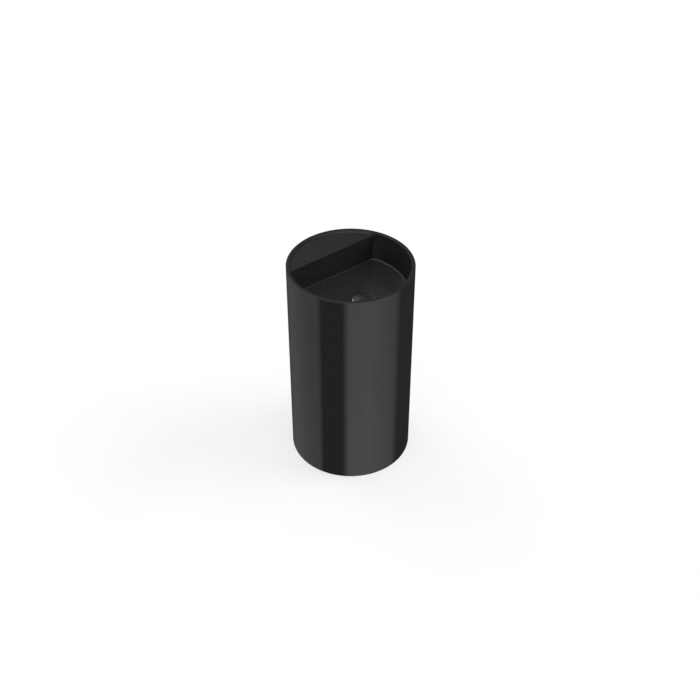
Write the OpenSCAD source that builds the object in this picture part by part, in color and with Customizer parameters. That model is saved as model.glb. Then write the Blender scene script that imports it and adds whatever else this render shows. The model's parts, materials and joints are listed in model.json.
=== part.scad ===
// Free-standing round pedestal wash basin in one piece of glazed ceramic, with a D-shaped bowl and a shelf
// behind it. Inside the column are a push-to-open waste, a bottle trap and its pipes, and a service cover
// closes the opening at the back.
// Millimetres. The origin is the middle of the base, +Z is up, -Y is the user's side and +Y is the back.

/* [Column] */
// Outer diameter of the column
body_d = 470; // [450:5:500]
// Height of the column
body_h = 850; // [840:5:900]
// Thickness of the column's wall
wall_t = 13.5; // [12:0.5:15]
// Radius of the edges at the rim and at the base
edge_r = 1.5; // [1:0.5:2.5]

/* [Bowl] */
// Distance of the shelf's front edge behind the column's axis
shelf_y = 106; // [90:2:120]
// Depth of the shelf below the rim
shelf_drop = 7; // [5:1:12]
// Depth of the bowl's floor below the rim
bowl_depth = 115; // [100:1:130]
// How much the bowl's curved wall leans in from the rim to the floor
bowl_lean = 6.5; // [4:0.5:9]
// Radius between the bowl's walls and its floor
bowl_fillet = 8; // [5:1:12]
// Radius of the dish in which the floor falls to the waste
dish_r = 138; // [100:2:138]
// Fall of the floor to the waste
dish_drop = 12; // [6:1:14]
// Thickness of the ceramic under the bowl and the shelf
floor_t = 14; // [12:1:16]

/* [Waste] */
// Distance of the waste in front of the column's axis
waste_front = 63; // [55:1:70]
// Diameter of the hole for the waste
waste_hole_d = 46; // [45:0.5:48]
// Diameter of the waste's cap
cap_d = 73; // [70:1:78]
// Rise of the cap's domed top above its edge
cap_crown = 1.6; // [0.5:0.1:2.5]
// How far the cap rises when it opens
cap_lift = 8; // [6:0.5:8]
// Outside diameter of the G 1 1/4 thread
thread_d = 41.9; // [41.5:0.1:42]

/* [Drain] */
// Outside diameter of the tubes and pipes
pipe_d = 32; // [31:0.5:33]
// Wall thickness of the tubes and pipes
pipe_wall = 1.8; // [1.5:0.1:2.5]
// Height of the trap's outlet
outlet_z = 578; // [560:2:590]
// Distance of the drop pipe behind the column's axis
drop_y = 70; // [60:5:110]
// Outside diameter of the spigot for the floor socket
spigot_d = 40; // [39.5:0.5:42]

/* [Service cover] */
// Width of the service cover
panel_w = 200; // [180:5:210]
// Height of the service cover
panel_h = 500; // [450:10:520]
// Height of the cover's lower edge above the floor
panel_z = 150; // [130:5:160]
// Thickness of the service cover
panel_t = 6; // [5:0.5:7]

/* [Floor fixing] */
// Distance of the floor bushes from the column's axis
lug_at = 196; // [190:1:200]
// Height of the floor lugs
lug_h = 30; // [25:1:40]
// Diameter of the screw hole in a bush
screw_d = 9; // [8:0.5:10]

/* [Hidden] */

$fn = 96;
arc_steps = 6;      // straight steps in a quarter of a rounded edge
past = 1;           // how far a cut runs past the face it opens
gap = 0.1;          // clearance between fixed pieces that would otherwise share a surface

// Colours
glaze = "#17181a";
gunmetal = "#55575c";
brass = "#c8a860";
rubber = "#2b2b2b";
nylon = "#d8d4c6";
white_plastic = "#e6e6e2";
grey_plastic = "#9a9c9e";
steel = "#b9bcc0";
foam = "#3c3c3e";

// Column and bowl
body_r = body_d / 2;
inner_r = body_r - wall_t;                      // inside of the wall, and of the rim at its top
shelf_z = body_h - shelf_drop;
floor_z = body_h - bowl_depth;
dish_z = floor_z - dish_drop;
under_z = dish_z - floor_t;                     // underside of the bowl
floor_r = inner_r - bowl_lean;                  // foot of the bowl's curved wall
lean = atan(bowl_lean / bowl_depth);
seat_r = 38;                                    // flat seat of the waste's flange

// Waste, from the seat up and down
waste_y = -waste_front;
flange_r = 33;
flange_chamfer = 0.8;
flange_mouth = 3;                               // funnel where the flange meets the bore
gasket_t = 1.5;
gasket_r = 31;
flange_t = 2.5;
flange_z = dish_z + gasket_t;
flange_top = flange_z + flange_t;
tail_r = thread_d / 2;
tail_bore_r = 18;
tail_z = dish_z - 79;                           // lower end of the threaded tail
under_gasket_t = 6;
under_gasket_r = 32;
friction_t = 2;
friction_r = 30;
friction_z = under_z - under_gasket_t;          // top of the friction washer
backnut_top = friction_z - friction_t;
nut_h = 9;
nut_af = 55;                                    // across the flats of the backnut
cap_r = cap_d / 2;
cap_under = flange_top + 2;                     // flat underside of the cap
cap_edge_r = 2.6;
cap_edge_z = cap_under + 1;                     // foot of the cap's rounded edge
cap_lip_w = 4;                                  // lip round the cap's underside
cap_lip = 1;
cap_seal_r = 29;
cap_seal_in_r = 24;
boss_r = 7;
boss_z = cap_under - 10;
stem_r = 4;
stem_gap = 0.06;
stud_r = 3;
stud_top = cap_under - 2;
piston_r = 6.1;
chamber_r = 6.2;
sleeve_r = 8;
hub_r = 11;
hub_z = dish_z - 31;
hub_h = 9;
sleeve_top = hub_z + 14;
sleeve_z = hub_z - 20;
sleeve_lid_t = 4;
sleeve_floor_t = 3;
collar_r = sleeve_r + 2;
collar_t = 2;
drain_hole_r = 1.5;
arm_w = 2.5;                                    // arms between the hub and the tail
piston_t = 6.8;
piston_z = sleeve_top - sleeve_lid_t - cap_lift - piston_t - 2 * gap;
spring_r = 4.9;                                 // middle of the spring's wire
wire_r = 0.5;
spring_turns = 5;
wire_sides = 6;
wire_steps = 16;                                // rings of wire in a turn

// Drain, from the tail down
pipe_r = pipe_d / 2;
pipe_bore_r = pipe_r - pipe_wall;
pipe_pass_r = pipe_r + 0.3;                     // hole that a pipe passes through loosely
washer_t = 3;
inlet_z = tail_z - washer_t;                    // top of the inlet tube
inlet_lip_t = 2;
inlet_lip_r = tail_r - 1;
coupling_r = 26;
coupling_lip_t = 2.9;
coupling_ribs = 12;
grip_r = 2;                                     // ribs for the hand on a nut and on the cup
inlet_nut_over = 16;                            // length of the tail inside the inlet nut
neck_nut_h = 22;
neck_nut_rise = 8;                              // of which past the end of the neck
taper_h = 5;                                    // tapered washer
taper_t = 1.5;
head_z = outlet_z - 38;                         // open lower end of the trap's head
head_r = 31;
head_wall = 3;
head_h = 54;
neck_r = 21;
neck_top = outlet_z + neck_r + 15;
dip_z = outlet_z - 78;                          // lower end of the inlet tube
cup_r = head_r + 4.2;
cup_foot_r = cup_r - 4;
cup_thread_r = head_r + 0.3;
cup_top = head_z + 14;
cup_collar_z = cup_top - 17;                    // foot of the cup's threaded collar
cup_wall = 3;
cup_floor_z = dip_z - 22;
cup_chamfer = 6;
cup_grips = 10;
stop_ring_h = 4;                                // ring on the head above the cup
spout_len = 34;                                 // from the head's wall to the end of the spout
spout_y = waste_y + head_r + spout_len;
outlet_start = waste_y + head_r + 4;            // inner end of the outlet pipe
bend_r = 28;
bend_tube_r = 17.5;
socket_r = 19.5;
socket_len = 27;
seal_r = 20;
seal_w = 5;
bulge_r = 23;
bulge_w = 9;
socket_bore_r = pipe_r + gap;
bend_y = drop_y - bend_r;
bend_z = outlet_z - bend_r;
adapter_z = 5;
spigot_len = 45;
shoulder_z = adapter_z + spigot_len;
shoulder_r = spigot_d / 2 + 2;
shoulder_h = 12;
adapter_socket_z = shoulder_z + 10;             // bottom of the adapter's socket
adapter_top = shoulder_z + 42;
seal_inset = (bulge_w + seal_w) / 2;            // from a socket's mouth to the far side of its seal
pipe_stop = 2;                                  // how far a pipe's end stays from the bottom of its socket

// Service opening
land_w = 22;                                    // width of the land behind the cover
rebate_gap = 1.5;
land_gap = 2.5;                                 // from the land to the back of the cover
panel_in_r = body_r - panel_t;
land_r = panel_in_r - land_gap;
corner_r = 14;
panel_mid_z = panel_z + panel_h / 2;
foam_w = 6;
foam_in = 1;
notch_r = 13;
magnet_r = 6;
magnet_edge = 0.7;                              // from a magnet to the cover's side
magnet_x = panel_w / 2 - magnet_r - magnet_edge;
magnet_turn = asin(magnet_x / panel_in_r);
magnet_rise = panel_h / 2 - 60;                 // above and below the cover's middle
magnet_proud = 1.9;
magnet_t = 4;
strike_proud = 0.5;
strike_t = 2;

// Floor fixing
lug_w = 44;
lug_in = 20;                                    // how far a lug reaches inside its bush
bush_r = 8;
bush_flange_r = 13;
bush_flange_t = 2.5;
bush_z = 1;

// Points of an arc about c, from angle a0 to a1
function arc(c, r, a0, a1, n = arc_steps) =
    [for (i = [0:n]) c + r * [cos(a0 + (a1 - a0) * i / n), sin(a0 + (a1 - a0) * i / n)]];

// Outline of a w by h rectangle with round corners, about its middle
function round_rect(w, h, r) = concat(
    arc([w / 2 - r, h / 2 - r], r, 0, 90), arc([r - w / 2, h / 2 - r], r, 90, 180),
    arc([r - w / 2, r - h / 2], r, 180, 270), arc([w / 2 - r, r - h / 2], r, 270, 360));

// Everything beyond the plane y = 0, as a prism along Y
module along_y(w, h, r, reach = body_r + 20) {
    translate([0, reach, panel_mid_z]) rotate([90, 0, 0]) linear_extrude(reach)
        polygon(round_rect(w, h, r));
}

module ring(r_out, r_in, z0, z1) {
    difference() {
        translate([0, 0, z0]) cylinder(r = r_out, h = z1 - z0);
        translate([0, 0, z0 - past]) cylinder(r = r_in, h = z1 - z0 + 2 * past);
    }
}

module at_waste() { translate([0, waste_y, 0]) children(); }

module at_lugs() { for (turn = [45:90:315]) rotate(turn) children(); }

// Hexagon with its corners turned down at both ends, and a round bore
module hex_nut(af, r_in, z0, z1, chamfer = 2) {
    tip_r = af / 2 / cos(30);
    difference() {
        intersection() {
            translate([0, 0, z0]) cylinder(r = tip_r, h = z1 - z0, $fn = 6);
            rotate_extrude() polygon([[0, z0], [tip_r - chamfer, z0], [tip_r + 0.1, z0 + chamfer],
                [tip_r + 0.1, z1 - chamfer], [tip_r - chamfer, z1], [0, z1]]);
        }
        translate([0, 0, z0 - past]) cylinder(r = r_in, h = z1 - z0 + 2 * past);
    }
}

// Upright ribs for the hand, sunk into a wall of radius r, from z0 up
module grips(count, r, z0, h) {
    for (i = [0:count - 1]) rotate(i * 360 / count)
        translate([r - grip_r / 4, 0, z0]) cylinder(r = grip_r, h = h, $fn = 24);
}

// Coupling nut that stands on its lip: a ribbed round shell, bored for a thread from its top down to the lip
module coupling_nut(h, thread_r) {
    difference() {
        union() {
            cylinder(r = coupling_r, h = h);
            grips(coupling_ribs, coupling_r, grip_r, h - 2 * grip_r);
        }
        translate([0, 0, -past]) cylinder(r = pipe_pass_r, h = h + 2 * past);
        translate([0, 0, coupling_lip_t]) cylinder(r = thread_r, h = h);
    }
}

// Coupling nut over the end of a neck at z = 0, with its lip upwards
module neck_nut() {
    translate([0, 0, neck_nut_rise]) mirror([0, 0, 1]) coupling_nut(neck_nut_h, neck_r + gap);
}

// ---- Ceramic ----

module column() {
    rotate_extrude() polygon(concat([[0, 0]], arc([body_r - edge_r, edge_r], edge_r, -90, 0),
        arc([body_r - edge_r, body_h - edge_r], edge_r, 0, 90), [[0, body_h]]));
}

// Space inside the column, below the bowl and up behind it under the shelf
module inner_space() {
    difference() {
        translate([0, 0, -past]) cylinder(r = inner_r, h = shelf_z - floor_t + past);
        translate([-body_d, shelf_y + floor_t - 2 * body_d, under_z]) cube([2 * body_d, 2 * body_d, body_h]);
    }
}

// What the shelf fills at the back, with the fillet at the foot of its front wall
module shelf_block() {
    foot = [shelf_y - bowl_fillet, floor_z + bowl_fillet];
    edge = [shelf_y + edge_r, shelf_z - edge_r];
    rotate([90, 0, 90]) translate([0, 0, -body_d]) linear_extrude(2 * body_d)
        polygon(concat([[foot.x, floor_z - past]], arc(foot, bowl_fillet, -90, 0),
            arc(edge, edge_r, 180, 90), [[body_d, shelf_z], [body_d, floor_z - past]]));
}

// Everything open above the bowl and the shelf
module bowl_space() {
    foot = [floor_r + bowl_fillet * ((1 - sin(lean)) * tan(lean) - cos(lean)), floor_z + bowl_fillet];
    lip = [inner_r + edge_r, body_h - edge_r];
    difference() {
        rotate_extrude() polygon(concat([[0, floor_z]], arc(foot, bowl_fillet, -90, -lean),
            arc(lip, edge_r, 180, 90), [[inner_r + edge_r, body_h + past], [0, body_h + past]]));
        shelf_block();
    }
    at_waste() rotate_extrude() polygon(concat([[0, dish_z]],
        [for (i = [0:arc_steps]) [seat_r + (dish_r - seat_r) * i / arc_steps,
            floor_z - dish_drop * pow(1 - i / arc_steps, 2)]],
        [[dish_r, floor_z + past], [0, floor_z + past]]));
}

// Rebate for the cover, with its land, and the opening through the wall
module service_opening() {
    difference() {
        along_y(panel_w + 2 * rebate_gap, panel_h + 2 * rebate_gap, corner_r + rebate_gap);
        translate([0, 0, -past]) cylinder(r = land_r, h = body_h);
    }
    along_y(panel_w - 2 * land_w, panel_h - 2 * land_w, corner_r);
}

module floor_lug() {
    linear_extrude(lug_h) polygon(concat(arc([lug_at, 0], lug_in, 90, 270, 2 * arc_steps),
        [[lug_at + lug_in, -lug_w / 2], [inner_r + wall_t / 3, -lug_w / 2],
        [inner_r + wall_t / 3, lug_w / 2], [lug_at + lug_in, lug_w / 2]]));
}

module basin_body() {
    color(glaze) difference() {
        union() {
            difference() {
                column();
                inner_space();
            }
            at_lugs() floor_lug();
        }
        bowl_space();
        at_waste() translate([0, 0, under_z - past]) cylinder(d = waste_hole_d, h = floor_t + 2 * past);
        service_opening();
        at_magnets() translate([0, 0, land_r + strike_proud - strike_t])
            cylinder(r = magnet_r + gap, h = strike_t + past);
        at_lugs() translate([lug_at, 0, -past]) cylinder(r = bush_r, h = lug_h + 2 * past);
    }
}

// ---- Push-to-open waste ----

module waste_cap() {
    lip_z = cap_under - cap_lip;
    edge = [cap_r - cap_edge_r, cap_edge_z];
    dome_r = (pow(edge.x, 2) + pow(cap_crown, 2)) / (2 * cap_crown);
    dome = [0, cap_edge_z + cap_edge_r + cap_crown - dome_r];
    color(gunmetal) at_waste() difference() {
        union() {
            rotate_extrude() polygon(concat([[0, cap_under], [cap_r - cap_lip_w, cap_under],
                [cap_r - cap_lip_w + cap_lip, lip_z], [cap_r - cap_lip, lip_z], [cap_r, cap_under]],
                arc(edge, cap_edge_r, 0, 90), arc(dome, dome_r, 90 - asin(edge.x / dome_r), 90)));
            translate([0, 0, boss_z]) cylinder(r = boss_r, h = cap_under - boss_z + past);
        }
        translate([0, 0, boss_z - past]) cylinder(r = stud_r + gap / 2, h = cap_under - boss_z);
    }
}

module cap_seal() {
    color(rubber) at_waste() ring(cap_seal_r, cap_seal_in_r, flange_top + gap, cap_under);
}

module click_stem() {
    color(steel) at_waste() rotate_extrude() polygon([[0, piston_z], [piston_r, piston_z],
        [piston_r, piston_z + piston_t], [stem_r, piston_z + piston_t], [stem_r, boss_z], [stud_r, boss_z],
        [stud_r, stud_top], [0, stud_top]]);
}

// Sleeve held in the hub, with a collar on the hub, a bore for the stem and a drain hole below
module click_cartridge() {
    chamber_z = sleeve_z + sleeve_floor_t;
    lid_z = sleeve_top - sleeve_lid_t;
    color(white_plastic) at_waste() difference() {
        union() {
            translate([0, 0, sleeve_z]) cylinder(r = sleeve_r, h = sleeve_top - sleeve_z);
            translate([0, 0, hub_z + hub_h]) cylinder(r = collar_r, h = collar_t);
        }
        translate([0, 0, chamber_z]) cylinder(r = chamber_r, h = lid_z - chamber_z);
        translate([0, 0, lid_z - past]) cylinder(r = stem_r + stem_gap, h = sleeve_lid_t + 2 * past);
        translate([0, 0, sleeve_z - past]) cylinder(r = drain_hole_r, h = sleeve_floor_t + 2 * past);
    }
}

// Round wire along a helix between the sleeve's floor and the piston
module click_spring() {
    z0 = sleeve_z + sleeve_floor_t + wire_r + gap;
    z1 = piston_z - wire_r - gap;
    rings = spring_turns * wire_steps;
    points = [for (i = [0:rings], k = [0:wire_sides - 1])
        let (turn = 360 * i / wire_steps, side = 360 * k / wire_sides, r = spring_r + wire_r * cos(side))
        [r * cos(turn), r * sin(turn), z0 + (z1 - z0) * i / rings + wire_r * sin(side)]];
    sides = [for (i = [0:rings - 1], k = [0:wire_sides - 1])
        let (a = i * wire_sides + k, b = i * wire_sides + (k + 1) % wire_sides)
        [a, a + wire_sides, b + wire_sides, b]];
    ends = [[for (k = [0:wire_sides - 1]) k], [for (k = [wire_sides - 1:-1:0]) rings * wire_sides + k]];
    color(steel) at_waste() polyhedron(points, concat(sides, ends));
}

// Flange, threaded tail and the three-armed spider round the cartridge
module waste_body() {
    color(brass) at_waste() {
        rotate_extrude() polygon([[flange_r, flange_z], [flange_r, flange_top - flange_chamfer],
            [flange_r - flange_chamfer, flange_top], [tail_bore_r + flange_mouth, flange_top],
            [tail_bore_r, flange_top - flange_mouth], [tail_bore_r, tail_z], [tail_r, tail_z],
            [tail_r, flange_z]]);
        ring(hub_r, sleeve_r + gap / 2, hub_z, hub_z + hub_h);
        for (turn = [90:120:330]) rotate(turn) translate([hub_r - 1, -arm_w / 2, hub_z + 1])
            cube([tail_bore_r - hub_r + 2, arm_w, hub_h - 2]);
    }
}

module flange_gasket() { color(rubber) at_waste() ring(gasket_r, tail_r + gap, dish_z, flange_z); }

module under_gasket() { color(rubber) at_waste() ring(under_gasket_r, tail_r + gap, friction_z, under_z); }

module friction_washer() { color(nylon) at_waste() ring(friction_r, tail_r + gap, backnut_top, friction_z); }

module backnut() { color(brass) at_waste() hex_nut(nut_af, tail_r + gap, backnut_top - nut_h, backnut_top); }

// ---- Bottle trap ----

module inlet_nut() {
    foot = inlet_z - inlet_lip_t - gap - coupling_lip_t;
    color(white_plastic) at_waste() translate([0, 0, foot])
        coupling_nut(tail_z + inlet_nut_over - foot, tail_r + gap);
}

module inlet_washer() { color(rubber) at_waste() ring(inlet_lip_r, pipe_bore_r, inlet_z, tail_z); }

module inlet_tube() {
    color(white_plastic) at_waste() rotate_extrude() polygon([[pipe_bore_r, dip_z], [pipe_r, dip_z],
        [pipe_r, inlet_z - inlet_lip_t], [inlet_lip_r, inlet_z - inlet_lip_t], [inlet_lip_r, inlet_z],
        [pipe_bore_r, inlet_z]]);
}

module head_nut() { color(white_plastic) at_waste() translate([0, 0, neck_top]) neck_nut(); }

// Washer at the end of a neck at z = 0, tapered towards it
module tapered_washer() {
    bore_r = pipe_r + gap / 2;
    rim_r = neck_r - taper_t / 5;
    rotate_extrude() polygon([[bore_r, 0], [neck_r - 2, 0], [rim_r, taper_t], [rim_r, taper_h],
        [bore_r, taper_h]]);
}

module head_washer() { color(rubber) at_waste() translate([0, 0, neck_top]) tapered_washer(); }

// Hollow head with its neck on top, a skirt for the cup below and the threaded spout at the back
module trap_head() {
    top = head_z + head_h;
    color(white_plastic) at_waste() difference() {
        union() {
            translate([0, 0, head_z]) cylinder(r = head_r, h = head_h);
            translate([0, 0, cup_top + past]) cylinder(r = cup_r, h = stop_ring_h);
            translate([0, 0, top - past]) cylinder(r = neck_r, h = neck_top - top + past);
            translate([0, 0, outlet_z]) rotate([-90, 0, 0]) cylinder(r = neck_r, h = head_r + spout_len);
        }
        translate([0, 0, head_z - past]) cylinder(r = head_r - head_wall, h = head_h - head_wall + past);
        translate([0, 0, top - 2 * head_wall]) cylinder(r = pipe_pass_r, h = neck_top - top + 3 * head_wall);
        translate([0, 0, outlet_z]) rotate([-90, 0, 0])
            cylinder(r = pipe_pass_r, h = head_r + spout_len + past);
    }
}

module trap_cup() {
    base_z = cup_floor_z - cup_wall;
    in_r = cup_foot_r - cup_wall;
    color(white_plastic) at_waste() difference() {
        union() {
            rotate_extrude() polygon([[0, base_z], [cup_foot_r - cup_chamfer, base_z],
                [cup_foot_r, base_z + cup_chamfer], [cup_foot_r + 2, cup_collar_z - cup_wall],
                [cup_r, cup_collar_z], [cup_r, cup_top], [0, cup_top]]);
            grips(cup_grips, cup_r, cup_collar_z + past, cup_top - cup_collar_z - 3 * past);
        }
        rotate_extrude() polygon([[0, cup_floor_z], [in_r - cup_chamfer, cup_floor_z],
            [in_r, cup_floor_z + cup_chamfer], [in_r + 1, cup_collar_z - 2], [cup_thread_r, cup_collar_z],
            [cup_thread_r, cup_top + past], [0, cup_top + past]]);
    }
}

module cup_ring() {
    color(rubber) at_waste()
        ring(cup_thread_r - gap, head_r - head_wall, cup_collar_z + gap, head_z - gap);
}

// ---- Outlet pipes ----

module along_outlet(y) { translate([0, y, outlet_z]) rotate([-90, 0, 0]) children(); }

module outlet_nut() { color(white_plastic) along_outlet(spout_y) neck_nut(); }

module outlet_washer() { color(rubber) along_outlet(spout_y) tapered_washer(); }

module pipe(len) { ring(pipe_r, pipe_bore_r, 0, len); }

module outlet_pipe() {
    color(grey_plastic) along_outlet(outlet_start) pipe(bend_y - pipe_stop - outlet_start);
}

// Outside of a push-fit socket that opens towards +Z, with the bulge over its seal
module socket(len) {
    cylinder(r = socket_r, h = len);
    translate([0, 0, len - bulge_w]) cylinder(r = bulge_r, h = bulge_w);
}

module socket_space(len) {
    cylinder(r = socket_bore_r, h = len + past);
    translate([0, 0, len - seal_inset]) cylinder(r = seal_r + gap, h = seal_w);
}

module quarter_bend(r) {
    translate([0, bend_y, bend_z]) rotate([90, 0, 90]) rotate_extrude(angle = 90)
        translate([bend_r, 0]) circle(r = r);
}

module outlet_bend() {
    color(grey_plastic) difference() {
        union() {
            quarter_bend(bend_tube_r);
            translate([0, bend_y, outlet_z]) rotate([90, 0, 0]) socket(socket_len);
            translate([0, drop_y, bend_z]) rotate([180, 0, 0]) socket(socket_len);
        }
        quarter_bend(pipe_bore_r);
        translate([0, bend_y, outlet_z]) rotate([90, 0, 0]) socket_space(socket_len);
        translate([0, drop_y, bend_z]) rotate([180, 0, 0]) socket_space(socket_len);
    }
}

module drop_pipe() {
    start = adapter_socket_z + pipe_stop;
    color(grey_plastic) translate([0, drop_y, start]) pipe(bend_z - pipe_stop - start);
}

// Spigot below, socket for the drop pipe above
module floor_adapter() {
    color(grey_plastic) translate([0, drop_y, 0]) difference() {
        union() {
            translate([0, 0, adapter_z]) cylinder(d = spigot_d, h = spigot_len);
            translate([0, 0, shoulder_z]) cylinder(r = shoulder_r, h = shoulder_h);
            translate([0, 0, adapter_socket_z]) socket(adapter_top - adapter_socket_z);
        }
        translate([0, 0, adapter_z - past]) cylinder(r = pipe_bore_r, h = adapter_top);
        translate([0, 0, adapter_socket_z]) socket_space(adapter_top - adapter_socket_z);
    }
}

module lip_seal() { ring(seal_r, pipe_r, gap, seal_w - gap); }

module pipe_seals() {
    color(rubber) {
        translate([0, bend_y - socket_len + seal_inset, outlet_z]) rotate([90, 0, 0]) lip_seal();
        translate([0, drop_y, bend_z - socket_len + seal_inset]) rotate([180, 0, 0]) lip_seal();
        translate([0, drop_y, adapter_top - seal_inset]) lip_seal();
    }
}

// ---- Service cover ----

// Places its child at each corner of the cover, with +Z pointing out of the column
module at_magnets() {
    for (side = [-1, 1], rise = [-1, 1]) translate([0, 0, panel_mid_z + rise * magnet_rise])
        rotate(-side * magnet_turn) rotate([-90, 0, 0]) children();
}

module access_panel() {
    color(glaze) difference() {
        intersection() {
            ring(body_r, panel_in_r, panel_z - past, panel_z + panel_h + past);
            along_y(panel_w, panel_h, corner_r);
        }
        translate([0, 0, panel_z]) rotate([-90, 0, 0]) cylinder(r = notch_r, h = body_d);
        at_magnets() translate([0, 0, land_r])
            cylinder(r = magnet_r + gap, h = land_gap - magnet_proud + magnet_t);
    }
}

module panel_gasket() {
    w = panel_w - 2 * land_w + 2 * foam_in;
    h = panel_h - 2 * land_w + 2 * foam_in;
    color(foam) intersection() {
        ring(panel_in_r, land_r + gap, panel_z, panel_z + panel_h);
        difference() {
            along_y(w + 2 * foam_w, h + 2 * foam_w, corner_r + foam_w);
            along_y(w, h, corner_r, 2 * body_r);
        }
    }
}

module panel_magnets() {
    color(steel) at_magnets() translate([0, 0, panel_in_r - magnet_proud])
        cylinder(r = magnet_r, h = magnet_t);
}

module strike_plates() {
    color(steel) at_magnets() translate([0, 0, land_r + strike_proud - strike_t])
        cylinder(r = magnet_r, h = strike_t);
}

// ---- Floor fixing ----

module floor_bushes() {
    color(nylon) at_lugs() translate([lug_at, 0, 0]) difference() {
        union() {
            translate([0, 0, bush_z]) cylinder(r = bush_r - gap / 2, h = lug_h - bush_z + past);
            translate([0, 0, lug_h]) cylinder(r = bush_flange_r, h = bush_flange_t);
        }
        translate([0, 0, -past]) cylinder(d = screw_d, h = 2 * lug_h);
    }
}

basin_body();
waste_cap();
cap_seal();
click_stem();
click_cartridge();
click_spring();
waste_body();
flange_gasket();
under_gasket();
friction_washer();
backnut();
inlet_nut();
inlet_washer();
inlet_tube();
head_nut();
head_washer();
trap_head();
trap_cup();
cup_ring();
outlet_nut();
outlet_washer();
outlet_pipe();
outlet_bend();
drop_pipe();
floor_adapter();
pipe_seals();
access_panel();
panel_gasket();
panel_magnets();
strike_plates();
floor_bushes();
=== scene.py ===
"""Looks of the free-standing round column basin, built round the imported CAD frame.

Metres. The origin is the middle of the base, +Z is up, -Y is the user's side and +Y is the back."""

import json
import math

import bmesh
import bpy
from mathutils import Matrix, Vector


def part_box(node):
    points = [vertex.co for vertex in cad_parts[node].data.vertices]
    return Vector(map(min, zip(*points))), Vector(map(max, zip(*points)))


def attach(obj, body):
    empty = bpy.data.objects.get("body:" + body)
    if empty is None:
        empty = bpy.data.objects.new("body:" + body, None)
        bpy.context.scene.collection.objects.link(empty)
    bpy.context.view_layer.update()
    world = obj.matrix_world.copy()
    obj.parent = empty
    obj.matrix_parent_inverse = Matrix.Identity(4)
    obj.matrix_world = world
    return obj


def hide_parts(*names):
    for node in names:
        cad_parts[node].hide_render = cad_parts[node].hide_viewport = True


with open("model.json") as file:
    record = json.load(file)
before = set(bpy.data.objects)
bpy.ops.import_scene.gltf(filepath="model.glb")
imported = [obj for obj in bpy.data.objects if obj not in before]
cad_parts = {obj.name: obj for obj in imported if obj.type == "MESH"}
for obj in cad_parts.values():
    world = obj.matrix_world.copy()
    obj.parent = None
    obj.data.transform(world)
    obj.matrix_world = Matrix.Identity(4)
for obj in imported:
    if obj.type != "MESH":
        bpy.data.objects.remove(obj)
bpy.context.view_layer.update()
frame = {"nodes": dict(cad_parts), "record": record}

UP, DOWN, BACK = Vector((0, 0, 1)), Vector((0, 0, -1)), Vector((0, 1, 0))

# Roundings of the glazed ceramic
CORNER_R = 0.011        # vertical corners at the ends of the bowl's straight wall
FLOOR_FILLET = 0.008    # bowl's walls to its floor
SHELF_EDGE_R = 0.0016   # front edge of the shelf
SHELF_FILLET = 0.0045   # shelf to the rim
RIM_EDGE_R = 0.0015     # both edges of the rim, and the base
REBATE_EDGE_R = 0.0012  # edge of the rebate round the service cover

SMOOTH_ANGLE = 35       # degrees between faces past which an edge is sharp
PAST = 0.01             # how far a cutter runs past the face it opens

# Bowl's floor, and the fixings in the ceramic
SEAT_R = 0.038          # flat seat of the waste's flange
DISH_R = 0.138          # where the floor starts to fall to the waste
WASTE_HOLE_R = 0.023
BUSH_FLANGE_R = 0.013
BUSH_FLANGE_T = 0.0025
BUSH_HOLE_R = 0.008
LUG_TIP_R = 0.020       # how far a floor lug reaches inside its bush
LUG_HALF_W = 0.022

# Waste cap
CAP_EDGE_W = 0.0080     # width and height of the cap's rounded edge
CAP_EDGE_H = 0.0036
CAP_CROWN = 0.0013      # rise of the dome above that edge
CAP_LIP_H = 0.0009      # lip round the cap's underside
CAP_BOSS_R = 0.007
CAP_BOSS_H = 0.010
CAP_BORE_R = 0.00305
CAP_BORE_DEPTH = 0.008
CAP_CHAMFER = 0.0004

# Service cover
COVER_T = 0.006
COVER_CORNER_R = 0.014
COVER_EDGE_R = 0.0010   # edge of its outer face
COVER_BACK_R = 0.0006   # edge of its inner face
COVER_GRID_INSET = 0.016        # from its sides to the plain grid in each face
NOTCH_R = 0.013         # finger notch in its lower edge
NOTCH_CUT = (0.2, 0.3)  # from inside the column to behind it
LAND_W = 0.022          # width of the land behind it
POCKET_R = 0.0061       # pockets for the magnets and the strike plates
STRIKE_POCKET = (-0.001, 0.006)     # both pockets' ends, from the disc's middle outwards
MAGNET_POCKET = (-0.008, 0.0021)

# The photographed view
VIEW_AZIMUTH = -38.08   # degrees round from the front, to the user's left
VIEW_DISTANCE = 3.3641  # from the column's axis, along the floor
VIEW_HEIGHT = 3.2048    # above the floor
VIEW_PITCH = 39.322     # degrees below the horizon
VIEW_LENS = 58.30       # millimetres on a 36 mm sensor
VIEW_YAW = 0.0415       # degrees


# ---- Sizes measured on the frame ----

def cad_hit(node, start, direction):
    """Where a ray meets a CAD node."""
    found, place, _, _ = frame["nodes"][node].ray_cast(Vector(start), Vector(direction))
    if not found:
        raise ValueError(f"no surface of {node} from {start} along {direction}")
    return place


def middle(node):
    """Middle of a CAD node's box."""
    low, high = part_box(node)
    return (low + high) / 2


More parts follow.
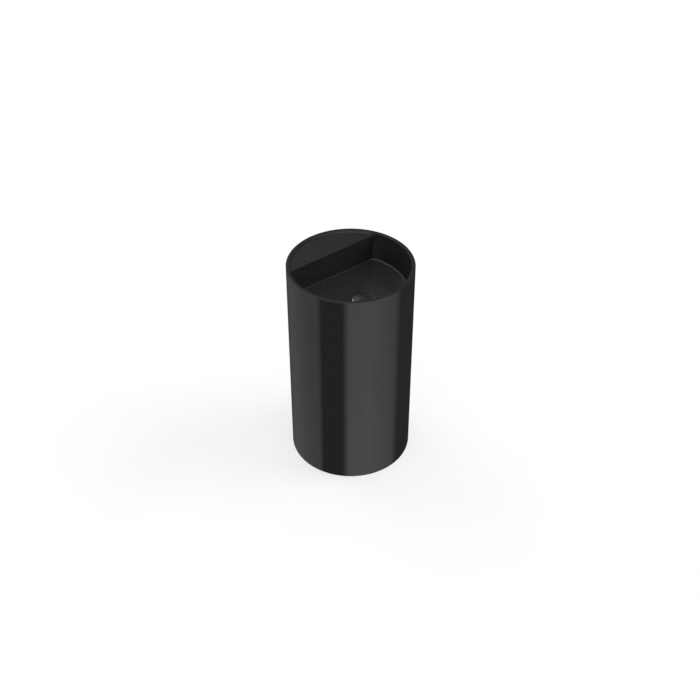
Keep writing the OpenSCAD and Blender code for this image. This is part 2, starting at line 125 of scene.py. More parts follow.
class Basin:
    """Driving sizes of the ceramic, read off its CAD node."""
    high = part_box("basin_body")[1]
    radius, height = high.x, high.z
    waste = middle("waste_cap").xy.to_3d()
    shelf_z = cad_hit("basin_body", (0, 0.8 * radius, height + 0.1), DOWN).z
    floor_z = cad_hit("basin_body", (0.45 * radius, 0.25 * radius, height + 0.1), DOWN).z
    seat_z = cad_hit("basin_body", waste + Vector((0.030, 0, height)), DOWN).z
    shelf_y = cad_hit("basin_body", (0, 0, (floor_z + shelf_z) / 2), BACK).y
    under_z = cad_hit("basin_body", (0.5 * radius, 0, 0.6 * height), UP).z
    under_shelf_z = cad_hit("basin_body", (0, 0.8 * radius, 0.8 * height), UP).z
    back_y = cad_hit("basin_body", (0, 0.8 * radius, (under_z + under_shelf_z) / 2), -BACK).y
    inner_r = -cad_hit("basin_body", (0, 0, 0.5 * height), -BACK).y
    wall_z0, wall_z1 = floor_z + 0.02, height - 0.004       # two heights between the bowl's roundings
    wall_r0 = -cad_hit("basin_body", (0, 0, wall_z0), -BACK).y
    wall_r1 = -cad_hit("basin_body", (0, 0, wall_z1), -BACK).y


def wall_radius(z):
    """Radius of the bowl's leaning wall at height z."""
    slope = (Basin.wall_r1 - Basin.wall_r0) / (Basin.wall_z1 - Basin.wall_z0)
    return Basin.wall_r0 + slope * (z - Basin.wall_z0)


# ---- Mesh tools ----

def new_piece(name, bm, body, material, replaces=(), smooth_angle=SMOOTH_ANGLE):
    """Makes an object of bm, smooth but for its sharp edges, that rides on a CAD body."""
    bmesh.ops.recalc_face_normals(bm, faces=bm.faces)
    mesh = bpy.data.meshes.new(name)
    bm.to_mesh(mesh)
    bm.free()
    piece = bpy.data.objects.new(name, mesh)
    bpy.context.scene.collection.objects.link(piece)
    shade(piece, smooth_angle)
    mesh.materials.append(material)
    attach(piece, body)
    if replaces:
        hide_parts(*replaces)
    return piece


def shade(piece, smooth_angle):
    """Smooth shading, with the edges past smooth_angle kept sharp."""
    mesh = piece.data
    mesh.polygons.foreach_set("use_smooth", [True] * len(mesh.polygons))
    mesh.set_sharp_from_angle(angle=math.radians(smooth_angle))


def apply_modifier(piece, kind, **settings):
    """Adds a modifier to the piece and applies it."""
    modifier = piece.modifiers.new(kind, kind)
    for key, value in settings.items():
        setattr(modifier, key, value)
    graph = bpy.context.evaluated_depsgraph_get()
    mesh = bpy.data.meshes.new_from_object(piece.evaluated_get(graph))
    piece.modifiers.clear()
    old, piece.data = piece.data, mesh
    bpy.data.meshes.remove(old)


def temporary(bm, name):
    """An object that only lasts until it has been used as a cutter."""
    bmesh.ops.recalc_face_normals(bm, faces=bm.faces)
    mesh = bpy.data.meshes.new(name)
    bm.to_mesh(mesh)
    bm.free()
    obj = bpy.data.objects.new(name, mesh)
    bpy.context.scene.collection.objects.link(obj)
    return obj


def cut(piece, *cutters):
    """Takes each cutter's volume out of the piece."""
    for cutter in cutters:
        apply_modifier(piece, "BOOLEAN", operation="DIFFERENCE", solver="EXACT", object=cutter)
        bpy.data.objects.remove(cutter)


def finish_cuts(piece):
    """Smooth shading that keeps large faces flat after cutting."""
    shade(piece, SMOOTH_ANGLE)
    apply_modifier(piece, "WEIGHTED_NORMAL", mode="FACE_AREA", keep_sharp=True)


def arc(steps, a0, a1):
    """(cosine, sine) pairs from angle a0 to a1, in degrees."""
    angles = [math.radians(a0 + (a1 - a0) * i / steps) for i in range(steps + 1)]
    return [(math.cos(a), math.sin(a)) for a in angles]


def bridge(bm, first, second, closed=True):
    """Quads between two rows of vertices."""
    count = len(first)
    for i in range(count if closed else count - 1):
        j = (i + 1) % count
        bm.faces.new([first[i], first[j], second[j], second[i]])


def lathe(bm, profile, segments, centre=Vector((0, 0, 0))):
    """Turns a profile of (radius, z), from axis to axis, about a vertical line through centre."""
    rows = []
    for r, z in profile:
        if r == 0:
            rows.append([bm.verts.new(centre + Vector((0, 0, z)))])
        else:
            rows.append([bm.verts.new(centre + Vector((r * c, r * s, z)))
                         for c, s in arc(segments, 0, 360)[:-1]])
    for a, b in zip(rows, rows[1:]):
        if len(a) == 1 or len(b) == 1:
            tip, ring = (a[0], b) if len(a) == 1 else (b[0], a)
            for i in range(segments):
                bm.faces.new([tip, ring[i], ring[(i + 1) % segments]])
        else:
            bridge(bm, a, b)


def prism(outline, depth0, depth1, place):
    """A closed prism. outline is (u, v) points, and place turns (u, v, depth) into a point."""
    bm = bmesh.new()
    ends = [[bm.verts.new(place(u, v, d)) for u, v in outline] for d in (depth0, depth1)]
    bridge(bm, *ends)
    for end in ends:
        bm.faces.new(end)
    return bm


def rounded_rect(half_w, half_h, r, sides):
    """Points round a rounded rectangle, with sides = (segments across, segments up).

    Each side starts in the middle of a corner, so that the points match the outline of a plain grid with
    as many segments."""
    corners = [(1, -1, -45), (1, 1, 45), (-1, 1, 135), (-1, -1, 225)]
    points = []
    for k, (sx, sy, start) in enumerate(corners):
        ex, ey, _ = corners[(k + 1) % 4]
        steps = sides[1] if sx == ex else sides[0]
        c0 = Vector((sx * (half_w - r), sy * (half_h - r)))
        c1 = Vector((ex * (half_w - r), ey * (half_h - r)))
        bend, straight = r * math.pi / 4, (c1 - c0).length
        for i in range(steps):
            run = (2 * bend + straight) * i / steps
            if run < bend:
                turn, c = start + 45 * run / bend, c0
            elif run > bend + straight:
                turn, c = start + 45 + 45 * (run - bend - straight) / bend, c1
            else:
                turn, c = start + 45, c0.lerp(c1, (run - bend) / straight)
            points.append(c + r * Vector((math.cos(math.radians(turn)), math.sin(math.radians(turn)))))
    return points


def on_column(x, z, r):
    """Point at the back of the column, at radius r."""
    return Vector((x, math.sqrt(r * r - x * x), z))


# ---- Glazed ceramic ----

ARC_STEPS = 220         # columns round the bowl's curved wall
CORNER_STEPS = 14
BORDER_STEPS = 5        # rings from the hole in the wall's grid in to the rebate
CHORD_STEPS = 96        # columns along the bowl's straight wall
ROUND_STEPS = 6
FLOOR_STEPS = 26        # rows from the seat out to the foot of the walls
WALL_STEPS = 12
SHELF_STEPS = 8
LEAST_R = 0.0004        # smallest corner that keeps its columns apart
TOUCHING = 1e-5         # width below which the shelf has run out at a column


def bowl_outline(z, inset=0.0):
    """The bowl's D at height z, shrunk by inset: (point, outward direction), from the right-hand corner."""
    r, y, c = wall_radius(z) - inset, Basin.shelf_y - inset, max(CORNER_R - inset, LEAST_R)
    corner = Vector((math.sqrt((r - c) ** 2 - (y - c) ** 2), y - c))
    meet = math.degrees(math.atan2(corner.y, corner.x))
    points = []
    for co, si in arc(ARC_STEPS, meet, -180 - meet)[:-1]:
        points.append((Vector((r * co, r * si)), Vector((co, si))))
    for co, si in arc(CORNER_STEPS, 180 - meet, 90)[:-1]:
        points.append((Vector((-corner.x, corner.y)) + c * Vector((co, si)), Vector((co, si))))
    end = math.asin(corner.x / r)
    for i in range(CHORD_STEPS):
        x = r * math.sin(end * (2 * i / CHORD_STEPS - 1))
        points.append((Vector((x, y)), Vector((0, 1))))
    for co, si in arc(CORNER_STEPS, 90, meet)[:-1]:
        points.append((corner + c * Vector((co, si)), Vector((co, si))))
    return points


def out_to(point, direction, r):
    """How far from point along direction the circle of radius r about the axis lies."""
    b = point.dot(direction)
    return -b + math.sqrt(max(b * b - point.length_squared + r * r, 0.0))


def floor_height(distance):
    """Height of the bowl's floor at a distance from the waste."""
    t = min(max((distance - SEAT_R) / (DISH_R - SEAT_R), 0), 1)
    return Basin.seat_z + (Basin.floor_z - Basin.seat_z) * (1 - (1 - t) ** 2)


def floor_rows():
    """Rows of points from the waste's seat out to the foot of the walls and up the fillet."""
    foot = [p.to_3d() for p, _ in bowl_outline(Basin.floor_z, FLOOR_FILLET)]
    seat = [Basin.waste + SEAT_R * (p - Basin.waste).normalized() for p in foot]
    rows = [[Basin.waste.lerp(s, share) + UP * Basin.seat_z for s in seat] for share in (0.3, 0.6, 0.8)]
    for i in range(FLOOR_STEPS):
        row = [s.lerp(p, i / FLOOR_STEPS) for s, p in zip(seat, foot)]
        rows.append([p + UP * floor_height((p - Basin.waste).length) for p in row])
    for co, si in arc(ROUND_STEPS + 2, 0, 90):
        z = Basin.floor_z + FLOOR_FILLET * (1 - co)
        rows.append([p.to_3d() + UP * z for p, _ in bowl_outline(z, FLOOR_FILLET * (1 - si))])
    return rows


def wall_and_shelf_rows():
    """Rows of points up the bowl's walls, over the shelf and up to the rim's inner edge."""
    top = bowl_outline(Basin.shelf_z)
    r_shelf = wall_radius(Basin.shelf_z)
    width = [out_to(p, d, r_shelf) for p, d in top]
    edge = [min(SHELF_EDGE_R, 0.4 * w) if w > TOUCHING else 0.0 for w in width]
    rows = []
    z0 = Basin.floor_z + FLOOR_FILLET
    for i in range(1, WALL_STEPS + 1):
        heights = [z0 + (Basin.shelf_z - e - z0) * i / WALL_STEPS for e in edge]
        outlines = {z: bowl_outline(z) for z in set(heights)}
        rows.append([outlines[z][k][0].to_3d() + UP * z for k, z in enumerate(heights)])
    for co, si in arc(ROUND_STEPS, 0, 90)[1:]:
        rows.append([(p + d * e * (1 - co)).to_3d() + UP * (Basin.shelf_z - e * (1 - si))
                     for (p, d), e in zip(top, edge)])
    fillet = [min(SHELF_FILLET, 0.45 * max(r_shelf - (p + d * e).length, 0.0)) if w > TOUCHING else 0.0
              for (p, d), e, w in zip(top, edge, width)]
    start = [out_to(p, d, r_shelf - f) for (p, d), f in zip(top, fillet)]
    for i in range(1, SHELF_STEPS + 1):
        rows.append([(p + d * (e + (s - e) * i / SHELF_STEPS)).to_3d() + UP * Basin.shelf_z
                     for (p, d), e, s in zip(top, edge, start)])
    for co, si in arc(ROUND_STEPS, 0, 90)[1:]:
        row = []
        for (p, d), f in zip(top, fillet):
            z = Basin.shelf_z + f * (1 - co)
            row.append((p + d * out_to(p, d, wall_radius(z) - f * (1 - si))).to_3d() + UP * z)
        rows.append(row)
    return rows


def around(row, r, z):
    """The row's columns moved out to radius r at height z."""
    return [Vector((p.x, p.y, 0)).normalized() * r + UP * z for p in row]


def rim_rows(start):
    """Rows over the rim, from its inner wall to the top of the outer wall."""
    inner, outer, top = wall_radius(Basin.height), Basin.radius, Basin.height
    e = RIM_EDGE_R
    rows = [around(start, inner + e * (1 - co), top - e * (1 - si)) for co, si in arc(ROUND_STEPS, 0, 90)]
    for share in (0.25, 0.5, 0.75):
        rows.append(around(start, inner + e + (outer - inner - 2 * e) * share, top))
    rows += [around(start, outer - e * (1 - si), top - e * (1 - co)) for co, si in arc(ROUND_STEPS, 0, 90)]
    return rows


class Rebate:
    """The recess round the service cover, from the cover's CAD box and the land behind it."""
    low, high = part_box("access_panel")
    gap = 0.0015
    half_w = high.x + gap
    half_h = (high.z - low.z) / 2 + gap
    mid_z = (high.z + low.z) / 2
    corner = COVER_CORNER_R + gap
    least_corner = 0.001
    land_r = 0.2265
    hole_half_w = 0.120         # half the width of the hole left for it in the wall's grid
    hole_margin = 0.030         # height of that hole above and below the rebate
    land_insets = (0, 0.006, 0.012, 0.018, 0.024, 0.034)
    floor_y = 0.18              # inside the wall, where the opening's cutter takes it away
    cut_y = (0.10, 0.26)        # from the column's inside to past its wall


def rebate_rings(bm, border, sides):
    """Fills the hole in the outer wall down to the land.

    border is the hole's vertices, in the order of rounded_rect's points."""
    r, e = Basin.radius, REBATE_EDGE_R
    lip = rounded_rect(Rebate.half_w + e, Rebate.half_h + e, Rebate.corner + e, sides)
    ring = border
    for i in range(1, BORDER_STEPS + 1):
        points = []
        for v, p in zip(border, lip):
            flat = Vector((v.co.x, v.co.z - Rebate.mid_z)).lerp(p, i / BORDER_STEPS)
            points.append(bm.verts.new(on_column(flat.x, Rebate.mid_z + flat.y, r)))
        bridge(bm, ring, points)
        ring = points

    def step_in(inset, depth=0.0, radius=r):
        """Joins on the next ring, inset into the rebate's outline and sunk by depth below a radius."""
        nonlocal ring
        corner = max(Rebate.corner - inset, Rebate.least_corner)
        points = []
        for p in rounded_rect(Rebate.half_w - inset, Rebate.half_h - inset, corner, sides):
            points.append(bm.verts.new(on_column(p.x, Rebate.mid_z + p.y, radius) - BACK * depth))
        bridge(bm, ring, points)
        ring = points

    for co, si in arc(ROUND_STEPS, 0, 90)[1:]:
        step_in(-e * (1 - si), depth=e * (1 - co))
    step_in(0, depth=0.5 * (r - Rebate.land_r))
    for inset in Rebate.land_insets:
        step_in(inset, radius=Rebate.land_r)
    floor = [bm.verts.new((v.co.x, Rebate.floor_y, v.co.z)) for v in ring]
    bridge(bm, ring, floor)
    bm.faces.new(floor)


def outer_wall(bm, top_row):
    """The outer wall from the rim down to the base, left open where the rebate goes."""
    r, e = Basin.radius, RIM_EDGE_R
    hole_low = Rebate.low.z - Rebate.hole_margin
    hole_high = Rebate.high.z + Rebate.hole_margin
    above, inside, below = 4, 48, 3
    heights = [Basin.height - e + (hole_high - Basin.height + e) * i / above for i in range(1, above)]
    heights += [hole_high + (hole_low - hole_high) * i / inside for i in range(inside + 1)]
    heights += [hole_low + (e - hole_low) * i / below for i in range(1, below + 1)]
    first, last = above - 1, above - 1 + inside
    rows = [[bm.verts.new(p) for p in around([v.co for v in top_row], r, z)] for z in heights]
    columns = [i for i, v in enumerate(top_row) if v.co.y > 0 and abs(v.co.x) <= Rebate.hole_half_w]
    hole = set(columns[:-1])
    bridge(bm, top_row, rows[0])
    for k, (a, b) in enumerate(zip(rows, rows[1:])):
        for i in range(len(a)):
            if first <= k < last and i in hole:
                continue
            j = (i + 1) % len(a)
            bm.faces.new([a[i], a[j], b[j], b[i]])
    across = columns if top_row[columns[0]].co.x < 0 else columns[::-1]
    left, right = across[0], across[-1]
    border = [rows[k][right] for k in range(last, first, -1)]
    border += [rows[first][c] for c in across[:0:-1]]
    border += [rows[k][left] for k in range(first, last)]
    border += [rows[last][c] for c in across[:-1]]
    rebate_rings(bm, border, (len(across) - 1, inside))
    base = rows[-1]
    for co, si in arc(ROUND_STEPS, 0, 90)[1:]:
        row = [bm.verts.new(p) for p in around([v.co for v in base], r - e * (1 - co), e * (1 - si))]
        bridge(bm, base, row)
        base = row
    bm.faces.new(base)


def bush_places():
    """The middle of each floor bush, on the floor."""
    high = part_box("floor_bushes")[1]
    return [Vector((sx * (high.x - BUSH_FLANGE_R), sy * (high.y - BUSH_FLANGE_R), 0))
            for sx in (-1, 1) for sy in (-1, 1)]


def lug_shape(bush):
    """The volume of a floor lug round its bush, run out into the wall and down past the base."""
    out, side = bush.normalized(), UP.cross(bush.normalized())
    outline = [(bush.length + LUG_TIP_R * co, LUG_TIP_R * si) for co, si in arc(16, 90, 270)]
    outline += [(bush.length + LUG_TIP_R, -LUG_HALF_W), (Basin.radius + 0.01, -LUG_HALF_W),
                (Basin.radius + 0.01, LUG_HALF_W), (bush.length + LUG_TIP_R, LUG_HALF_W)]
    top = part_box("floor_bushes")[1].z - BUSH_FLANGE_T
    return temporary(prism(outline, -0.02, top, lambda u, v, d: out * u + side * v + UP * d), "lug")


def cavity_cutter():
    """The space inside the column, with the floor lugs left standing."""
    bm = bmesh.new()
    lathe(bm, [(0, -PAST), (Basin.inner_r, -PAST), (Basin.inner_r, Basin.under_shelf_z),
               (0, Basin.under_shelf_z)], 256)
    space = temporary(bm, "cavity")
    reach = 2 * Basin.radius
    under_bowl = prism([(-reach, -reach), (reach, -reach), (reach, Basin.back_y), (-reach, Basin.back_y)],
                       Basin.under_z, Basin.height + 0.1, lambda u, v, d: Vector((u, v, d)))
    cut(space, temporary(under_bowl, "under_bowl"), *[lug_shape(bush) for bush in bush_places()])
    return space


def round_cutter(centre, axis, r, depth0, depth1, segments=64):
    """A cylinder along an axis, from depth0 to depth1 past its centre."""
    turn = axis.to_track_quat("Z", "Y")
    outline = [(r * co, r * si) for co, si in arc(segments, 0, 360)[:-1]]
    bm = prism(outline, depth0, depth1, lambda u, v, d: centre + turn @ Vector((u, v, d)))
    return temporary(bm, "round")


def opening_cutter():
    """The service opening through the wall, inside the land."""
    inset = Rebate.gap + LAND_W
    outline = rounded_rect(Rebate.half_w - inset, Rebate.half_h - inset, COVER_CORNER_R, (40, 48))
    bm = prism([tuple(p) for p in outline], *Rebate.cut_y, lambda u, v, d: Vector((u, d, Rebate.mid_z + v)))
    return temporary(bm, "opening")


def corner_discs(node):
    """Middle and outward direction of each of a CAD node's four discs, one to a corner of the cover."""
    points = [v.co for v in frame["nodes"][node].data.vertices]
    found = []
    for sx in (-1, 1):
        for sz in (-1, 1):
            own = [p for p in points if p.x * sx > 0 and (p.z - Rebate.mid_z) * sz > 0]
            low = Vector([min(p[i] for p in own) for i in range(3)])
            high = Vector([max(p[i] for p in own) for i in range(3)])
            place = (low + high) / 2
            found.append((place, Vector((place.x, place.y, 0)).normalized()))
    return found


def make_basin(material):
    """The whole ceramic: the glazed skin, then everything cut out of it."""
    bm = bmesh.new()
    rows = floor_rows() + wall_and_shelf_rows()
    rows += rim_rows(rows[-1])
    grid = [[bm.verts.new(p) for p in row] for row in rows]
    bm.faces.new(grid[0])
    for a, b in zip(grid, grid[1:]):
        bridge(bm, a, b)
    outer_wall(bm, grid[-1])
    bmesh.ops.remove_doubles(bm, verts=bm.verts, dist=2e-6)
    bmesh.ops.dissolve_degenerate(bm, edges=bm.edges, dist=1e-7)
    piece = new_piece("basin", bm, "basin", material, ["basin_body"])
    waste_hole = round_cutter(Basin.waste, UP, WASTE_HOLE_R, Basin.under_z - PAST, Basin.seat_z + PAST)
    cutters = [cavity_cutter(), waste_hole, opening_cutter()]
    for bush in bush_places():
        cutters.append(round_cutter(bush, UP, BUSH_HOLE_R, -PAST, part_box("floor_bushes")[1].z))
    for place, way in corner_discs("strike_plates"):
        cutters.append(round_cutter(place, way, POCKET_R, *STRIKE_POCKET, 32))
    cut(piece, *cutters)
    finish_cuts(piece)


# ---- Waste cap and service cover ----

def make_cap(material):
    """Domed cap with a rounded edge, a lip below it and the boss that takes the stem."""
    low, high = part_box("waste_cap")
    r, top = (high.x - low.x) / 2, high.z
    under = low.z + CAP_BOSS_H
    edge = Vector((r - CAP_EDGE_W, top - CAP_CROWN - CAP_EDGE_H))
    dome_r = (edge.x ** 2 + CAP_CROWN ** 2) / (2 * CAP_CROWN)
    slope = math.degrees(math.asin(edge.x / dome_r))
    bore_z, lip_z = low.z + CAP_BORE_DEPTH, under - CAP_LIP_H
    profile = [(0, bore_z), (CAP_BORE_R, bore_z), (CAP_BORE_R, low.z), (CAP_BOSS_R - CAP_CHAMFER, low.z),
               (CAP_BOSS_R, low.z + CAP_CHAMFER), (CAP_BOSS_R, under)]
    profile += [(r - 0.0042, under), (r - 0.0034, lip_z), (r - 0.0016, lip_z), (r - 0.0005, under + 0.0002)]
    profile += [(edge.x + CAP_EDGE_W * co, edge.y + CAP_EDGE_H * si) for co, si in arc(14, 0, 88)]
    profile += [(dome_r * co, top - dome_r + dome_r * si) for co, si in arc(16, 90 - slope, 90)[1:-1]]
    profile.append((0, top))
    bm = bmesh.new()
    lathe(bm, profile, 160, Basin.waste)
    new_piece("waste_cap_domed", bm, "plug", material, ["waste_cap"], 40)


def make_cover(material):
    """The curved service cover: a plate with rounded edges, pockets for its magnets and a finger notch."""
    low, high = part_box("access_panel")
    outer, inner = Basin.radius, Basin.radius - COVER_T
    half_w, half_h = high.x, (high.z - low.z) / 2
    sides = (36, 40)
    across, up = sides
    bm = bmesh.new()

    def ring(inset, r):
        """The outline shrunk by inset, at radius r."""
        flat = rounded_rect(half_w - inset, half_h - inset, COVER_CORNER_R - inset, sides)
        return [bm.verts.new(on_column(p.x, Rebate.mid_z + p.y, r)) for p in flat]

    def face(r):
        """A plain grid inside the outline, and its border in the outline's order."""
        w, h = half_w - COVER_GRID_INSET, half_h - COVER_GRID_INSET
        grid = [[bm.verts.new(on_column(-w + 2 * w * i / across, Rebate.mid_z - h + 2 * h * k / up, r))
                 for i in range(across + 1)] for k in range(up + 1)]
        for a, b in zip(grid, grid[1:]):
            bridge(bm, a, b, closed=False)
        border = [grid[k][across] for k in range(up)] + [grid[up][i] for i in range(across, 0, -1)]
        return border + [grid[k][0] for k in range(up, 0, -1)] + [grid[0][i] for i in range(across)]

    rings = [face(inner), ring(3 * COVER_EDGE_R, inner)]
    rings += [ring(COVER_BACK_R, inner), ring(0, inner + COVER_BACK_R)]
    rings += [ring(COVER_EDGE_R * (1 - co), outer - COVER_EDGE_R * (1 - si))
              for co, si in arc(ROUND_STEPS, 0, 90)]
    rings += [ring(4 * COVER_EDGE_R, outer), face(outer)]
    for a, b in zip(rings, rings[1:]):
        bridge(bm, a, b)
    piece = new_piece("service_cover", bm, "cover", material, ["access_panel"])
    cutters = [round_cutter(Vector((0, 0, low.z)), BACK, NOTCH_R, *NOTCH_CUT)]
    for place, way in corner_discs("panel_magnets"):
        cutters.append(round_cutter(place, way, POCKET_R, *MAGNET_POCKET, 32))
    cut(piece, *cutters)
    finish_cuts(piece)


# ---- Materials ----

def node_maker(tree):
    """A function that adds a node to the tree, with values or other nodes' outputs at its inputs."""
    def node(kind, inputs=None, **settings):
        n = tree.nodes.new(kind)
        for key, value in settings.items():
            setattr(n, key, value)
        for key, value in (inputs or {}).items():
            if hasattr(value, "is_output"):
                tree.links.new(value, n.inputs[key])
            else:
                n.inputs[key].default_value = value
        return n

    return node


def material(name):
    """A new node material: (material, its shader, a maker of further nodes, its links)."""
    made = bpy.data.materials.new(name)
    made.use_nodes = True
    return made, made.node_tree.nodes["Principled BSDF"], node_maker(made.node_tree), made.node_tree.links


def scaled(tone, factor):
    """The tone made lighter or darker, up to white."""
    return tuple(min(factor * t, 1) for t in tone)


def position(node):
    """Object coordinates, in metres."""
    return node("ShaderNodeTexCoord").outputs["Object"]


def ramp(node, value, stops):
    """A colour ramp through (place, grey or colour) stops."""
    n = node("ShaderNodeValToRGB", {"Fac": value})
    band = n.color_ramp.elements
    while len(band) < len(stops):
        band.new(0.5)
    for element, (place, colour) in zip(band, stops):
        element.position = place
        rgb = colour if hasattr(colour, "__len__") else (colour,) * 3
        element.color = (*rgb, 1)
    return n.outputs["Color"]


def noise(node, vector, scale, detail):
    """Cloudy noise of some number of waves to the metre."""
    return node("ShaderNodeTexNoise", {"Vector": vector, "Scale": scale, "Detail": detail}).outputs["Fac"]


def bump(node, height, strength, distance, normal=None):
    """A normal made uneven by height, on top of another normal if there is one."""
    inputs = {"Height": height, "Strength": strength, "Distance": distance}
    if normal is not None:
        inputs["Normal"] = normal
    return node("ShaderNodeBump", inputs).outputs["Normal"]


def glossy_black(name, tone, rough, wave):
    """Black glaze: a deep clear surface with a little mottle and a slow swell."""
    made, shader, node, links = material(name)
    place = position(node)
    mottle = noise(node, place, 38, 4)
    links.new(ramp(node, mottle, [(0.3, scaled(tone, 0.95)), (0.7, scaled(tone, 1.05))]),
              shader.inputs["Base Color"])
    patches = noise(node, place, 9, 3)
    links.new(ramp(node, patches, [(0.35, rough * 0.8), (0.7, rough * 1.25)]), shader.inputs["Roughness"])
    swell = bump(node, noise(node, place, 14, 1), wave, 0.0004)
    links.new(bump(node, noise(node, place, 420, 2), 0.008, 0.0002, swell), shader.inputs["Normal"])
    shader.inputs["IOR"].default_value = 1.5
    return made


def metal(name, tone, rough):
    """Turned or plated metal with fine marks."""
    made, shader, node, links = material(name)
    place = position(node)
    cloud = noise(node, place, 55, 4)
    links.new(ramp(node, cloud, [(0.3, scaled(tone, 0.85)), (0.7, scaled(tone, 1.1))]),
              shader.inputs["Base Color"])
    marks = noise(node, place, 900, 3)
    links.new(ramp(node, marks, [(0.3, rough * 0.75), (0.75, rough * 1.3)]), shader.inputs["Roughness"])
    links.new(bump(node, marks, 0.08, 0.0001), shader.inputs["Normal"])
    shader.inputs["Metallic"].default_value = 1
    return made


def plastic(name, tone, rough=0.42):
    """Moulded plastic: a fine spark-eroded grain and slight clouding."""
    made, shader, node, links = material(name)
    place = position(node)
    cloud = noise(node, place, 24, 3)
    links.new(ramp(node, cloud, [(0.3, scaled(tone, 0.94)), (0.7, scaled(tone, 1.05))]),
              shader.inputs["Base Color"])
    grain = noise(node, place, 1800, 2)
    links.new(ramp(node, grain, [(0.3, rough * 0.9), (0.7, rough * 1.15)]), shader.inputs["Roughness"])
    links.new(bump(node, grain, 0.12, 0.0001), shader.inputs["Normal"])
    return made


def rubber(name, tone, grain_scale=1300, depth=0.0002):
    """Dull rubber or foam: a coarse grain with some dust in it."""
    made, shader, node, links = material(name)
    place = position(node)
    dust = noise(node, place, 70, 4)
    links.new(ramp(node, dust, [(0.35, tone), (0.75, scaled(tone, 1.6))]), shader.inputs["Base Color"])
    grain = noise(node, place, grain_scale, 3)
    links.new(ramp(node, grain, [(0.3, 0.62), (0.7, 0.82)]), shader.inputs["Roughness"])
    links.new(bump(node, grain, 0.3, depth), shader.inputs["Normal"])
    return made


WHITE = (1, 1, 1, 1)
BLACK = (0.0170, 0.0170, 0.0175)
MATERIALS = {
    "glaze": glossy_black("glaze", BLACK, 0.05, 0.05),
    "cover": glossy_black("cover_black", BLACK, 0.06, 0.03),
    "cap_metal": metal("gunmetal", (0.44, 0.45, 0.50), 0.20),
    "brass": metal("machined_brass", (0.62, 0.45, 0.20), 0.28),
    "steel": metal("bright_steel", (0.55, 0.56, 0.58), 0.24),
    "magnet": metal("nickel", (0.62, 0.62, 0.64), 0.14),
    "black_rubber": rubber("black_rubber", (0.018, 0.018, 0.018)),
    "foam": rubber("foam", (0.030, 0.030, 0.032), 500, 0.0006),
    "nylon": plastic("nylon", (0.68, 0.65, 0.54)),
    "white_plastic": plastic("white_polypropylene", (0.78, 0.78, 0.75), 0.34),
    "grey_plastic": plastic("grey_polypropylene", (0.27, 0.28, 0.29), 0.38),
}


def dress_cad_nodes():
    """Gives each CAD node that stays the material of its slot."""
    for part in frame["record"]["subparts"]:
        obj = frame["nodes"][part["node"]]
        obj.data.materials.clear()
        obj.data.materials.append(MATERIALS[part["material_slot"]])


# ---- Floor, light and camera ----

def direction(angle, elevation=0.0):
    """Unit vector at an angle round from +X and an elevation, in degrees."""
    a, e = math.radians(angle), math.radians(elevation)
    return Vector((math.cos(a) * math.cos(e), math.sin(a) * math.cos(e), math.sin(e)))


CAMERA_ANGLE = VIEW_AZIMUTH - 90        # the camera's side, round from +X


def make_camera():
    """The photo's viewpoint."""
    data = bpy.data.cameras.new("camera")
    data.sensor_width, data.lens = 36, VIEW_LENS
    data.clip_start, data.clip_end = 0.1, 100
    camera = bpy.data.objects.new("camera", data)
    camera.location = direction(CAMERA_ANGLE) * VIEW_DISTANCE + UP * VIEW_HEIGHT
    look = direction(CAMERA_ANGLE + 180 + VIEW_YAW, -VIEW_PITCH)
    camera.rotation_euler = look.to_track_quat("-Z", "Y").to_euler()
    bpy.context.scene.collection.objects.link(camera)
    bpy.context.scene.camera = camera


FLOOR_R = 14
FLOOR_TONES = (0.325, 0.335)
FLOOR_GLOW = 0.64
FLOOR_GAP = 0.0005      # clear of the base, which stands on z = 0


def make_floor():
    """A pale floor that glows a little of its own, so that the shadows on it stay light."""
    made, shader, node, links = material("floor_white")
    cloud = noise(node, position(node), 3, 2)
    links.new(ramp(node, cloud, [(0.3, FLOOR_TONES[0]), (0.7, FLOOR_TONES[1])]), shader.inputs["Base Color"])
    shader.inputs["Emission Color"].default_value = WHITE
    shader.inputs["Emission Strength"].default_value = FLOOR_GLOW
    shader.inputs["Roughness"].default_value = 0.9
    shader.inputs["Specular IOR Level"].default_value = 0
    bm = bmesh.new()
    bmesh.ops.create_circle(bm, cap_ends=True, radius=FLOOR_R, segments=96)
    mesh = bpy.data.meshes.new("floor")
    bm.to_mesh(mesh)
    bm.free()
    mesh.materials.append(made)
    floor = bpy.data.objects.new("floor", mesh)
    bpy.context.scene.collection.objects.link(floor)
    floor.location.z = -FLOOR_GAP
    floor.visible_glossy = False


def place_light(name, data, location):
    """Puts a lamp in the scene that neither the camera nor the gloss sees."""
    light = bpy.data.objects.new(name, data)
    light.location = location
    light.visible_camera = False
    light.visible_glossy = False
    bpy.context.scene.collection.objects.link(light)
    return light


def make_light(name, angle, elevation, spread, power):
    """A far light that spreads over an angle, so that its shadows are soft and the floor is even."""
    data = bpy.data.lights.new(name, "SUN")
    data.angle, data.energy = math.radians(spread), power
    light = place_light(name, data, direction(angle, elevation) * 5)
    light.rotation_euler = (-direction(angle, elevation)).to_track_quat("-Z", "Y").to_euler()


BOWL_LIGHT_SIZE = 0.5
BOWL_LIGHT_POWER = 2.7
BOWL_LIGHT_AT = Vector((0, -0.10, Basin.height + 0.9))


def make_bowl_light():
    """A lamp over the bowl that lights the basin and its cap only."""
    data = bpy.data.lights.new("over_bowl", "AREA")
    data.shape, data.size, data.energy = "DISK", BOWL_LIGHT_SIZE, BOWL_LIGHT_POWER
    light = place_light("over_bowl", data, BOWL_LIGHT_AT)
    lit = bpy.data.collections.new("lit_from_above")
    for name in ("basin", "waste_cap_domed"):
        lit.objects.link(bpy.data.objects[name])
    light.light_linking.receiver_collection = lit


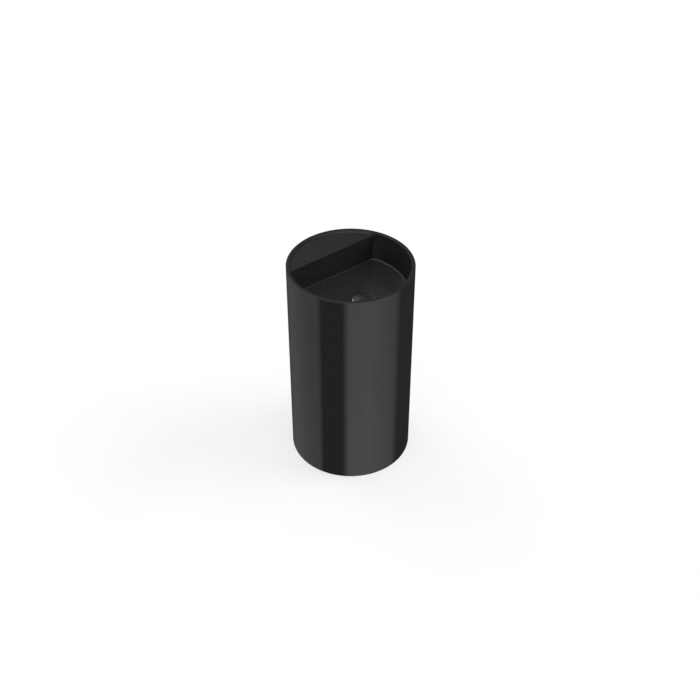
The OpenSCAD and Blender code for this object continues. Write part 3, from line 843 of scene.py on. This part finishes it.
# What the gloss mirrors low down: (degrees round from the camera's side, brightness)
PANELS = [(-180, 0.03), (-150, 0.12), (-128, 0.25), (-110, 0.34), (-64, 0.46), (-60, 0.32), (-54, 0.02),
          (-15, 0.02), (-8, 0.55), (-2, 0.94), (35, 0.94), (60, 0.68), (74, 0.52), (87, 0.38), (94, 0.20),
          (102, 0.02), (160, 0.02)]
# What it mirrors high up beyond the basin, from the camera's left to its right
BEYOND = [(0.20, 1.0), (0.29, 0.22), (0.46, 0.12), (0.52, 0.04), (0.75, 0.04)]
# Where the bright ceiling starts, from the horizon to straight up
CEILING = [(0.0, 0.0), (0.91, 0.0), (0.985, 1.0), (1.0, 1.0)]
FILL = (0.80, 0.80, 0.80, 1)


def make_world():
    """Soft studio surroundings: pale panels on dark for the gloss to mirror, and an even white fill."""
    world = bpy.data.worlds.new("studio")
    world.use_nodes = True
    world.node_tree.nodes.clear()
    node = node_maker(world.node_tree)

    def spread(value, low, high, top=1.0):
        """The value from low to high, spread from 0 to top."""
        inputs = {"Value": value, "From Min": low, "From Max": high, "To Max": top}
        return node("ShaderNodeMapRange", inputs).outputs[0]

    def mix(share, first, second):
        """A share of the second colour in the first."""
        return node("ShaderNodeMix", {0: share, 6: first, 7: second}, data_type="RGBA").outputs[2]

    way = node("ShaderNodeTexCoord").outputs["Generated"]
    to_camera = {"Vector": way, "Axis": (0, 0, 1), "Angle": -math.radians(CAMERA_ANGLE)}
    turned = node("ShaderNodeVectorRotate", to_camera).outputs["Vector"]
    x, y, z = (node("ShaderNodeSeparateXYZ", {"Vector": turned}).outputs[axis] for axis in "XYZ")
    angle = node("ShaderNodeMath", {0: y, 1: x}, operation="ARCTAN2").outputs[0]
    stops = [((degrees + 180) / 360, level) for degrees, level in PANELS]
    around_view = ramp(node, spread(angle, -math.pi, math.pi), stops)
    beyond = ramp(node, spread(y, -0.5, 0.5), BEYOND)
    # Whiter straight up, and behind the camera
    whiter = {0: ramp(node, z, CEILING), 1: spread(x, 0.1, 0.4, 0.8)}
    overhead = mix(node("ShaderNodeMath", whiter, operation="MAXIMUM").outputs[0], beyond, WHITE)
    seen = mix(spread(z, -0.02, 0.12), around_view, overhead)
    path = node("ShaderNodeLightPath").outputs
    shown = mix(path["Is Camera Ray"], mix(path["Is Glossy Ray"], FILL, seen), WHITE)
    background = node("ShaderNodeBackground", {"Color": shown, "Strength": 1.0})
    node("ShaderNodeOutputWorld", {"Surface": background.outputs[0]})
    bpy.context.scene.world = world


def make_stage():
    """Camera, floor, surroundings and far lights."""
    make_camera()
    make_floor()
    make_world()
    make_light("key", CAMERA_ANGLE + 95, elevation=39, spread=36, power=1.27)
    make_light("side", CAMERA_ANGLE - 130, elevation=45, spread=36, power=0.50)
    bpy.context.scene.view_settings.view_transform = "Standard"


# ---- Everything ----

make_stage()
dress_cad_nodes()
make_basin(MATERIALS["glaze"])
make_cap(MATERIALS["cap_metal"])
make_cover(MATERIALS["cover"])
make_bowl_light()
